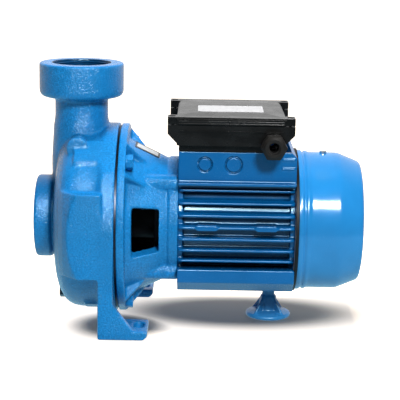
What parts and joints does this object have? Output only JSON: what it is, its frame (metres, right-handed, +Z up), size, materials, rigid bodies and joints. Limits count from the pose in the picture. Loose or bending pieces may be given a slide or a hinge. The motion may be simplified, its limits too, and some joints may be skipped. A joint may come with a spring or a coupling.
{
  "type": "centrifugal water pump",
  "caption": "Close-coupled centrifugal water pump with an end suction port, a top discharge port, a finned electric motor and a black terminal box.",
  "frame": {"origin": "centre of the suction port's face, on the shaft's axis", "axes": "+X along the shaft towards the motor, +Z up along the discharge port, -Y towards the cable gland"},
  "size_m": [0.32, 0.188, 0.254],
  "materials": {
    "blue_cast": "glossy blue paint over a grained sand casting",
    "blue_frame": "glossy deeper blue paint on die-cast aluminium",
    "blue_cover": "glossy light blue paint on pressed sheet",
    "blue_foot": "dark blue painted foot",
    "stainless": "satin stainless steel",
    "steel": "machined steel",
    "zinc": "bright zinc-plated steel",
    "laminations": "stacked electrical steel",
    "aluminium": "plain cast aluminium",
    "brass": "machined brass",
    "copper": "varnished copper winding",
    "ceramic": "lapped ceramic",
    "carbon": "lapped carbon",
    "rubber": "black rubber",
    "black_plastic": "satin black moulded plastic",
    "fan_plastic": "black moulded plastic",
    "gland_plastic": "matt dark grey plastic",
    "board": "brown moulded terminal board",
    "label": "blank white label",
    "plate": "blank silver rating plate",
    "leads": "red insulated wire"
  },
  "bodies": {
    "pump": {"pump_casing": "blue_cast", "casing_oring": "rubber", "drain_plug": "steel", "priming_plug": "steel", "plug_washers": "copper", "back_plate": "stainless", "casing_bolts": "blue_cast", "casing_washers": "blue_cast", "seal_seat": "ceramic", "motor_bracket": "blue_cast", "rating_plate": "plate", "bearing_circlip": "steel", "front_bearing_outer": "steel", "rear_bearing_outer": "steel", "wave_spring": "steel", "motor_frame": "blue_frame", "stator_core": "laminations", "stator_windings": "copper", "motor_leads": "leads", "rear_shield": "aluminium", "tie_rods": "zinc", "cover_ring": "rubber", "fan_cover": "blue_cover", "fan_cover_screws": "zinc", "terminal_box": "black_plastic", "box_gasket": "rubber", "box_screws": "zinc", "terminal_board": "board", "terminal_studs": "brass", "terminal_nuts": "brass", "run_capacitor": "aluminium", "capacitor_clamp": "zinc", "earth_screw": "brass", "gland_body": "gland_plastic", "gland_seal": "rubber"},
    "rotor": {"shaft": "stainless", "impeller": "brass", "impeller_key": "steel", "impeller_nut": "stainless", "impeller_washer": "stainless", "seal_face": "carbon", "seal_spring": "stainless", "slinger": "rubber", "rotor_core": "laminations", "rotor_cage": "aluminium", "front_bearing_inner": "steel", "rear_bearing_inner": "steel", "cooling_fan": "fan_plastic", "fan_clip": "steel"},
    "front_ball_set": {"front_bearing_balls": "steel", "front_bearing_cage": "brass"},
    "rear_ball_set": {"rear_bearing_balls": "steel", "rear_bearing_cage": "brass"},
    "lid": {"box_lid": "black_plastic", "lid_gasket": "rubber", "lid_screws": "steel", "lid_label": "label"},
    "gland_nut": {"gland_nut": "gland_plastic"},
    "levelling_foot": {"levelling_foot": "blue_foot"}
  },
  "joints": [
    {"name": "rotor_spin", "type": "hinge", "parent": "pump", "child": "rotor", "pos_m": [0.1, 0, 0], "axis": [1, 0, 0], "continuous": true},
    {"name": "front_ball_orbit", "type": "hinge", "parent": "pump", "child": "front_ball_set", "pos_m": [0.131, 0, 0], "axis": [1, 0, 0], "continuous": true},
    {"name": "rear_ball_orbit", "type": "hinge", "parent": "pump", "child": "rear_ball_set", "pos_m": [0.249, 0, 0], "axis": [1, 0, 0], "continuous": true},
    {"name": "lid_lift", "type": "slide", "parent": "pump", "child": "lid", "axis": [0, 0, 1], "range_m": [0, 0.04]},
    {"name": "gland_nut_turn", "type": "hinge", "parent": "pump", "child": "gland_nut", "pos_m": [0.2305, -0.075, 0.085], "axis": [0, -1, 0], "range_deg": [-360, 360]},
    {"name": "levelling_foot_height", "type": "slide", "parent": "pump", "child": "levelling_foot", "axis": [0, 0, 1], "range_m": [-0.006, 0.005]}
  ],
  "couplings": [
    {"joint": "front_ball_orbit", "follows": "rotor_spin", "ratio": 0.383},
    {"joint": "rear_ball_orbit", "follows": "rotor_spin", "ratio": 0.384}
  ]
}
